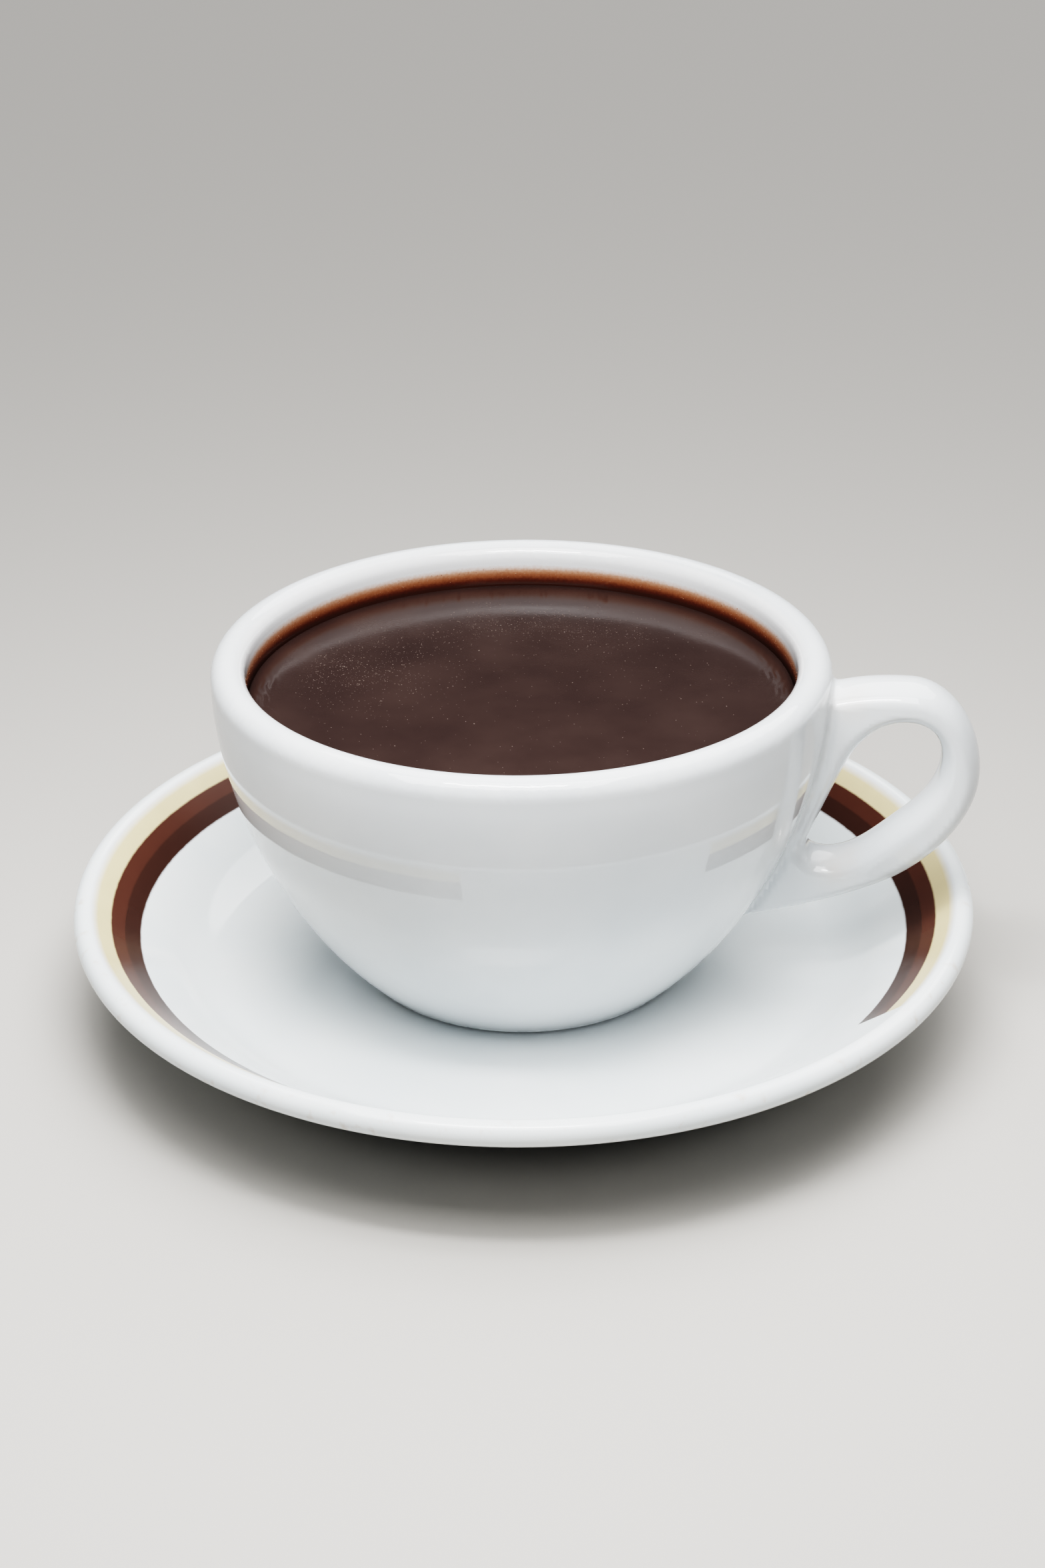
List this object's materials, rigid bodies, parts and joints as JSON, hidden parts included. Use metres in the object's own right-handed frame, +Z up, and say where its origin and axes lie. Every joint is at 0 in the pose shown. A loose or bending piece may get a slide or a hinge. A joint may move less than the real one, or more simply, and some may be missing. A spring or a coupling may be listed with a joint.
{
  "type": "cup of hot chocolate on a saucer",
  "caption": "Hot chocolate in a wide, thick-walled white china cup with an ear handle, standing on a round saucer with a sloped, rounded rim.",
  "frame": {"origin": "centre of the saucer's foot ring, on the table", "axes": "+Z up along the axis of the cup and saucer, +X along the cup's handle"},
  "size_m": [0.16, 0.16, 0.0667],
  "materials": {
    "white_china": "polished",
    "drink": "satin"
  },
  "bodies": {
    "root": {"saucer": "white_china", "cup": "white_china", "hot_chocolate": "drink"}
  },
  "joints": []
}
